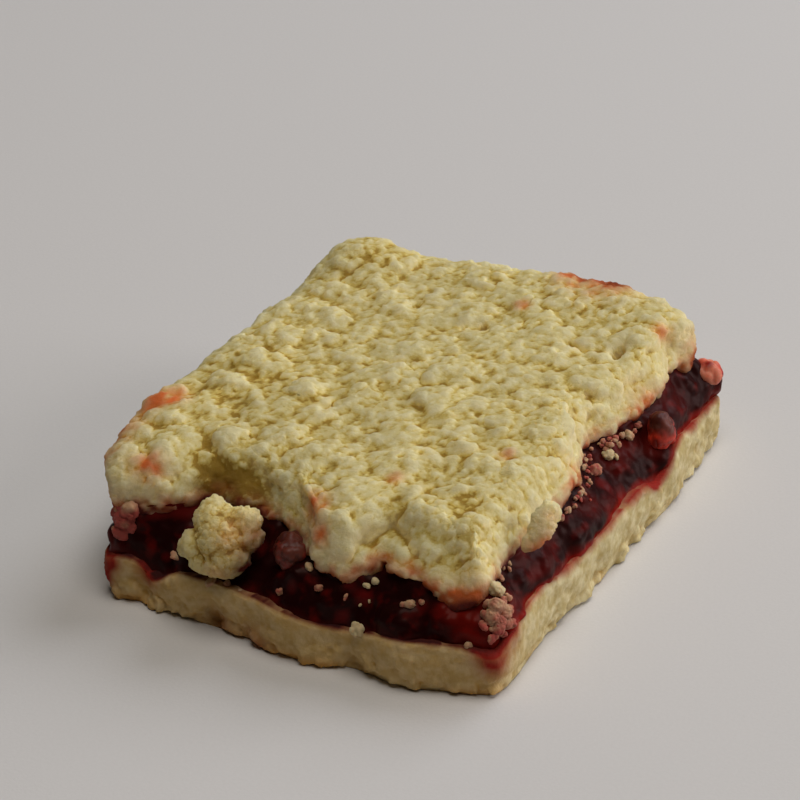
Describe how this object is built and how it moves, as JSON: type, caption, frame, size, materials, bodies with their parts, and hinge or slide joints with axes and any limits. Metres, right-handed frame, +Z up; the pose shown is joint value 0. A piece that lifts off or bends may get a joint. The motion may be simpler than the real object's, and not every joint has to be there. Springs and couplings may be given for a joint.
{
  "type": "cherry crumble slice",
  "caption": "Hand-cut slice of cherry crumble: shortcrust base, dark cherry filling with fruit at its sides, and a thick lumpy crumble topping with one lump slipped down its front.",
  "frame": {"origin": "middle of the cut base's flat underside, on the plane that the slice stands on", "axes": "+Z up through the layers; -Y towards the front cut, where a lump of crumble has slipped down; +X towards the right cut, where the most filling shows"},
  "size_m": [0.0836, 0.098, 0.0284],
  "materials": {
    "crust": "pale baked shortcrust, matte and close-grained",
    "jam": "dark cherry jam, wet and glossy",
    "crumble": "pale yellow crumble, matte and grainy",
    "cherry": "cooked cherry flesh, wet and glossy"
  },
  "bodies": {
    "root": {"base_crust": "crust", "cherry_filling": "jam", "crumble_topping": "crumble", "slipped_lump": "crumble", "side_lump": "crumble", "cherry_right": "cherry", "cherry_corner": "cherry", "cherry_front": "cherry"}
  },
  "joints": []
}
